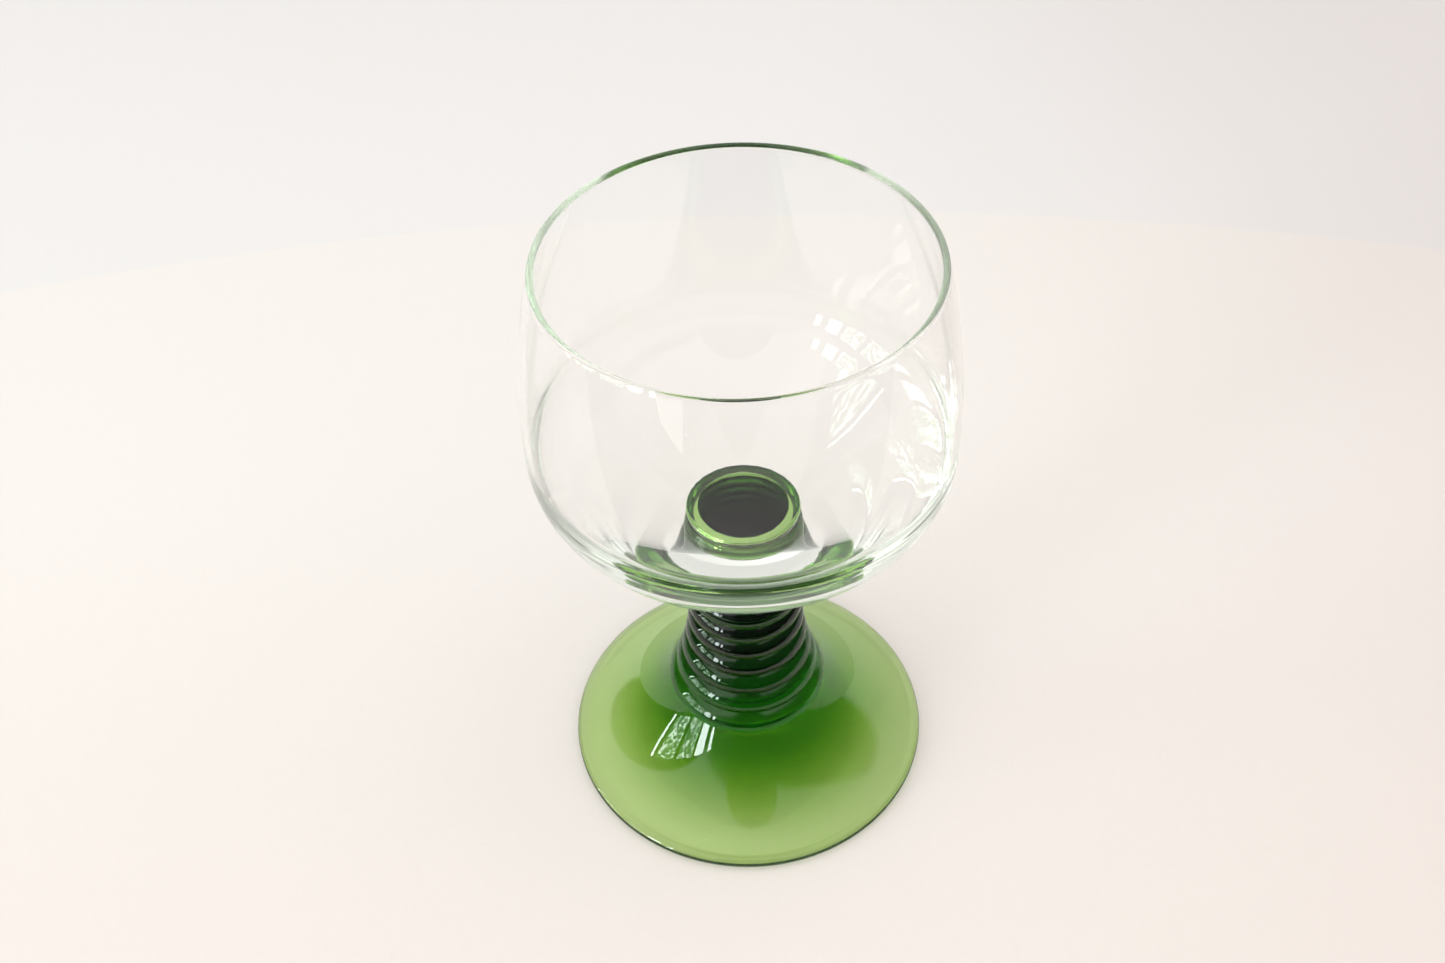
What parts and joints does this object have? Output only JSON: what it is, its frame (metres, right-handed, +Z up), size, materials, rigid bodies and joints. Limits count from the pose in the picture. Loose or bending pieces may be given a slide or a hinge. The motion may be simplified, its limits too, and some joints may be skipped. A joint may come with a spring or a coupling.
{
  "type": "wine glass",
  "caption": "Low wine glass: a clear rounded bowl on a solid green ribbed stem that flares into a wide green foot.",
  "frame": {"origin": "centre of the circle on which the foot stands", "axes": "+Z up along the axis of the glass; the glass is round, so X and Y are free"},
  "size_m": [0.0772, 0.0772, 0.125],
  "materials": {
    "clear_glass": "polished",
    "green_glass_stem": "polished",
    "green_glass_foot": "polished"
  },
  "bodies": {
    "root": {"bowl": "clear_glass", "stem": "green_glass_stem", "foot": "green_glass_foot"}
  },
  "joints": []
}
